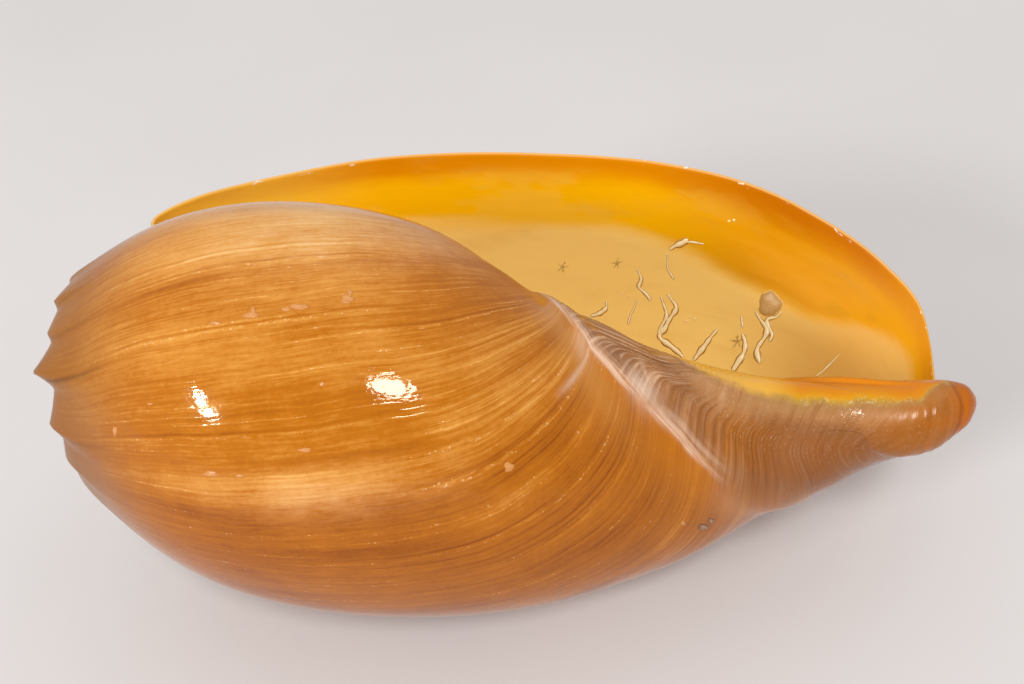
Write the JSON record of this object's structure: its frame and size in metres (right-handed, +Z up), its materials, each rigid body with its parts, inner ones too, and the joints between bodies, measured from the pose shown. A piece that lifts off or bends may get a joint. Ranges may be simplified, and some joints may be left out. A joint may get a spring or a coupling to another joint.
{
  "type": "melon shell",
  "caption": "Large smooth spiral sea shell with a wide open mouth, a low pointed crown at one end and a short canal at the other, lying on its belly.",
  "frame": {"origin": "middle of the bounding box at the height of the table", "axes": "+X along the shell from the crown to the canal tip, +Y towards the outer lip, +Z up from the table"},
  "size_m": [0.2624, 0.1598, 0.1323],
  "materials": {
    "shell": "glossy"
  },
  "bodies": {
    "root": {"shell": "shell"}
  },
  "joints": []
}
